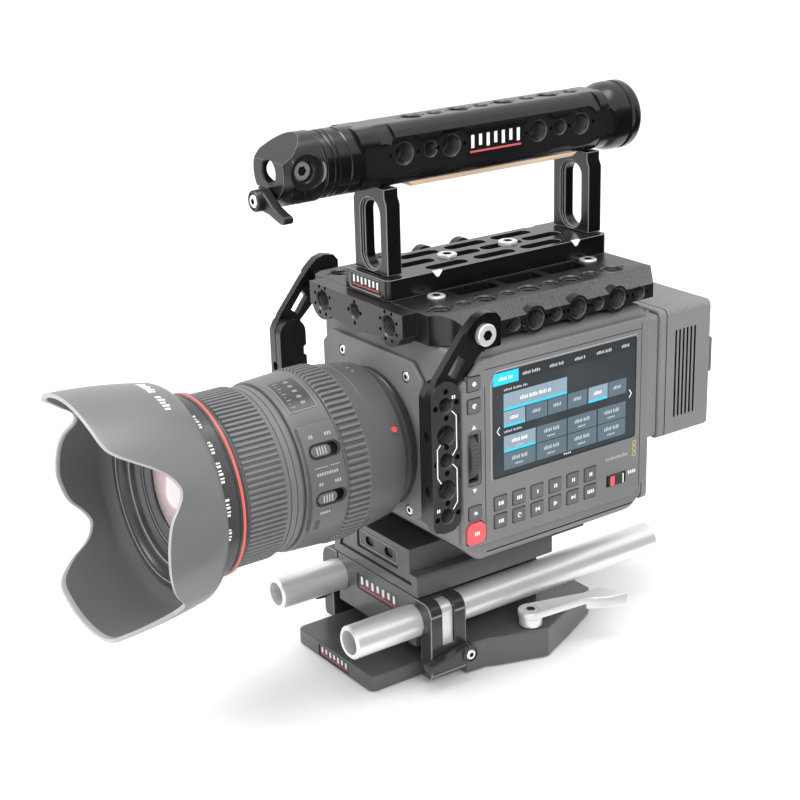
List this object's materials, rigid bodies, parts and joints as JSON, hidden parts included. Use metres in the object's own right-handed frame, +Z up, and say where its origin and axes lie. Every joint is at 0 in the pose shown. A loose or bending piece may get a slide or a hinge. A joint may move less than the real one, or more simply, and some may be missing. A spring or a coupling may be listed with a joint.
{
  "type": "cinema camera rig",
  "caption": "Box-shaped cinema camera with a petal-hooded zoom lens and rear battery, in a metal cage with side brackets, a top handle and a rod baseplate.",
  "frame": {"origin": "on the resting face of the tripod plate, directly under the lens axis and 30 mm behind the face of the camera's front plate", "axes": "+Z up; -Y the way the lens looks; +X towards the operator's side, where the touch screen and the keys are"},
  "size_m": [0.124, 0.3081, 0.2455],
  "materials": {
    "black_anodised": "satin black anodised",
    "grey_anodised": "matte anodised",
    "camera_body": "fine textured paint",
    "camera_dark": "matte",
    "key_plastic": "satin",
    "record_red": "satin",
    "screen": "glossy cover glass",
    "lens_black": "satin black",
    "lens_rubber": "ribbed rubber",
    "lens_glass": "coated glass",
    "hood_plastic": "matte",
    "silver": "bright satin",
    "wood": "oiled",
    "circuit_board": "solder mask",
    "battery_plastic": "fine texture"
  },
  "bodies": {
    "rig": {"battery_plate": "camera_dark", "bracket_left": "black_anodised", "bracket_right": "black_anodised", "bridge_block": "grey_anodised", "bridge_plate": "grey_anodised", "camera_case": "camera_body", "camera_plate": "grey_anodised", "clamp_block": "grey_anodised", "clamp_head": "black_anodised", "end_cap": "black_anodised", "front_plate": "camera_body", "front_post": "black_anodised", "handle_tube": "black_anodised", "lens_barrel": "lens_black", "main_board": "circuit_board", "mount_ring": "silver", "rear_post": "black_anodised", "riser": "black_anodised", "rod_jaw_left": "grey_anodised", "rod_jaw_right": "grey_anodised", "sensor_module": "camera_dark", "side_panel": "camera_body", "switch_barrel": "lens_black", "top_plate": "black_anodised", "touch_screen": "screen", "wood_grip": "wood"},
    "assist_button": {"assist_button": "key_plastic"},
    "battery": {"battery": "battery_plastic"},
    "battery_latch": {"battery_latch": "key_plastic"},
    "clamp_lever": {"clamp_lever": "black_anodised"},
    "focus_ring": {"focus_ring": "lens_rubber"},
    "focus_switch": {"focus_switch": "lens_black"},
    "hood": {"hood": "hood_plastic"},
    "jaw_lever_left": {"jaw_lever_left": "grey_anodised"},
    "jaw_lever_right": {"jaw_lever_right": "grey_anodised"},
    "jog_wheel": {"jog_wheel": "camera_dark"},
    "key_1_1": {"key_1_1": "key_plastic"},
    "key_1_2": {"key_1_2": "key_plastic"},
    "key_1_3": {"key_1_3": "key_plastic"},
    "key_1_4": {"key_1_4": "key_plastic"},
    "key_1_5": {"key_1_5": "key_plastic"},
    "key_1_6": {"key_1_6": "key_plastic"},
    "key_2_1": {"key_2_1": "key_plastic"},
    "key_2_2": {"key_2_2": "key_plastic"},
    "key_2_3": {"key_2_3": "key_plastic"},
    "key_2_4": {"key_2_4": "key_plastic"},
    "key_2_5": {"key_2_5": "key_plastic"},
    "key_2_6": {"key_2_6": "key_plastic"},
    "lock_lever": {"lock_lever": "silver"},
    "lock_switch": {"lock_switch": "record_red"},
    "menu_button": {"menu_button": "key_plastic"},
    "photo_button": {"photo_button": "key_plastic"},
    "record_button": {"record_button": "record_red"},
    "rod_left": {"rod_left": "silver"},
    "rod_right": {"rod_right": "silver"},
    "stabiliser_switch": {"stabiliser_switch": "lens_black"},
    "tripod_plate": {"tripod_plate": "grey_anodised"},
    "zoom_ring": {"zoom_ring": "lens_rubber"},
    "front_group": {"front_barrel": "lens_black", "front_glass": "lens_glass"}
  },
  "joints": [
    {"name": "tripod_plate_slide", "type": "slide", "parent": "rig", "child": "tripod_plate", "axis": [0, -1, 0], "range_m": [-0.03, 0.03]},
    {"name": "lock_lever_turn", "type": "hinge", "parent": "rig", "child": "lock_lever", "pos_m": [0.045, 0.021, 0.0193], "axis": [0, 0, -1], "range_deg": [0, 70]},
    {"name": "rod_left_slide", "type": "slide", "parent": "rig", "child": "rod_left", "axis": [0, -1, 0], "range_m": [-0.03, 0.06]},
    {"name": "jaw_lever_left_turn", "type": "hinge", "parent": "rig", "child": "jaw_lever_left", "pos_m": [-0.05, -0.0165, 0.0135], "axis": [-1, 0, 0], "range_deg": [0, 90]},
    {"name": "rod_right_slide", "type": "slide", "parent": "rig", "child": "rod_right", "axis": [0, -1, 0], "range_m": [-0.03, 0.06]},
    {"name": "jaw_lever_right_turn", "type": "hinge", "parent": "rig", "child": "jaw_lever_right", "pos_m": [0.05, -0.0165, 0.0135], "axis": [-1, 0, 0], "range_deg": [0, 90]},
    {"name": "front_extend", "type": "slide", "parent": "rig", "child": "front_group", "axis": [0, -1, 0], "range_m": [0, 0.03]},
    {"name": "zoom_turn", "type": "hinge", "parent": "rig", "child": "zoom_ring", "pos_m": [0, -0.0638, 0.1055], "axis": [0, -1, 0], "range_deg": [0, 76]},
    {"name": "focus_turn", "type": "hinge", "parent": "rig", "child": "focus_ring", "pos_m": [0, -0.1033, 0.1055], "axis": [0, -1, 0], "continuous": true},
    {"name": "hood_twist", "type": "hinge", "parent": "front_group", "child": "hood", "pos_m": [0, -0.1318, 0.1055], "axis": [0, -1, 0], "range_deg": [0, 45]},
    {"name": "focus_switch_slide", "type": "slide", "parent": "rig", "child": "focus_switch", "axis": [0, 1, 0], "range_m": [0, 0.003]},
    {"name": "stabiliser_switch_slide", "type": "slide", "parent": "rig", "child": "stabiliser_switch", "axis": [0, 1, 0], "range_m": [0, 0.003]},
    {"name": "jog_wheel_turn", "type": "hinge", "parent": "rig", "child": "jog_wheel", "pos_m": [0.0494, -0.021, 0.1105], "axis": [0, 1, 0], "continuous": true},
    {"name": "lock_switch_slide", "type": "slide", "parent": "rig", "child": "lock_switch", "axis": [0, 1, 0], "range_m": [-0.0015, 0.0015]},
    {"name": "key_1_1_push", "type": "slide", "parent": "rig", "child": "key_1_1", "axis": [-1, 0, 0], "range_m": [0, 0.0006], "stiffness_N_per_m": 400, "springref_m": -0.0006},
    {"name": "key_1_2_push", "type": "slide", "parent": "rig", "child": "key_1_2", "axis": [-1, 0, 0], "range_m": [0, 0.0006], "stiffness_N_per_m": 400, "springref_m": -0.0006},
    {"name": "key_1_3_push", "type": "slide", "parent": "rig", "child": "key_1_3", "axis": [-1, 0, 0], "range_m": [0, 0.0006], "stiffness_N_per_m": 400, "springref_m": -0.0006},
    {"name": "key_1_4_push", "type": "slide", "parent": "rig", "child": "key_1_4", "axis": [-1, 0, 0], "range_m": [0, 0.0006], "stiffness_N_per_m": 400, "springref_m": -0.0006},
    {"name": "key_1_5_push", "type": "slide", "parent": "rig", "child": "key_1_5", "axis": [-1, 0, 0], "range_m": [0, 0.0006], "stiffness_N_per_m": 400, "springref_m": -0.0006},
    {"name": "key_1_6_push", "type": "slide", "parent": "rig", "child": "key_1_6", "axis": [-1, 0, 0], "range_m": [0, 0.0006], "stiffness_N_per_m": 400, "springref_m": -0.0006},
    {"name": "key_2_1_push", "type": "slide", "parent": "rig", "child": "key_2_1", "axis": [-1, 0, 0], "range_m": [0, 0.0006], "stiffness_N_per_m": 400, "springref_m": -0.0006},
    {"name": "key_2_2_push", "type": "slide", "parent": "rig", "child": "key_2_2", "axis": [-1, 0, 0], "range_m": [0, 0.0006], "stiffness_N_per_m": 400, "springref_m": -0.0006},
    {"name": "key_2_3_push", "type": "slide", "parent": "rig", "child": "key_2_3", "axis": [-1, 0, 0], "range_m": [0, 0.0006], "stiffness_N_per_m": 400, "springref_m": -0.0006},
    {"name": "key_2_4_push", "type": "slide", "parent": "rig", "child": "key_2_4", "axis": [-1, 0, 0], "range_m": [0, 0.0006], "stiffness_N_per_m": 400, "springref_m": -0.0006},
    {"name": "key_2_5_push", "type": "slide", "parent": "rig", "child": "key_2_5", "axis": [-1, 0, 0], "range_m": [0, 0.0006], "stiffness_N_per_m": 400, "springref_m": -0.0006},
    {"name": "key_2_6_push", "type": "slide", "parent": "rig", "child": "key_2_6", "axis": [-1, 0, 0], "range_m": [0, 0.0006], "stiffness_N_per_m": 400, "springref_m": -0.0006},
    {"name": "menu_button_push", "type": "slide", "parent": "rig", "child": "menu_button", "axis": [-1, 0, 0], "range_m": [0, 0.0006], "stiffness_N_per_m": 400, "springref_m": -0.0006},
    {"name": "assist_button_push", "type": "slide", "parent": "rig", "child": "assist_button", "axis": [-1, 0, 0], "range_m": [0, 0.0006], "stiffness_N_per_m": 400, "springref_m": -0.0006},
    {"name": "photo_button_push", "type": "slide", "parent": "rig", "child": "photo_button", "axis": [-1, 0, 0], "range_m": [0, 0.0006], "stiffness_N_per_m": 400, "springref_m": -0.0006},
    {"name": "record_button_push", "type": "slide", "parent": "rig", "child": "record_button", "axis": [-1, 0, 0], "range_m": [0, 0.0006], "stiffness_N_per_m": 400, "springref_m": -0.0006},
    {"name": "battery_slide", "type": "slide", "parent": "rig", "child": "battery", "axis": [0, 0, 1], "range_m": [0, 0.02]},
    {"name": "battery_latch_slide", "type": "slide", "parent": "battery", "child": "battery_latch", "axis": [0, 0, -1], "range_m": [0, 0.003], "stiffness_N_per_m": 300, "springref_m": -0.001},
    {"name": "clamp_lever_turn", "type": "hinge", "parent": "rig", "child": "clamp_lever", "pos_m": [0, -0.0774, 0.2193], "axis": [0, 1, 0], "range_deg": [0, 100]}
  ],
  "couplings": [
    {"joint": "zoom_turn", "follows": "front_extend", "rad_per_m": 43.633}
  ]
}
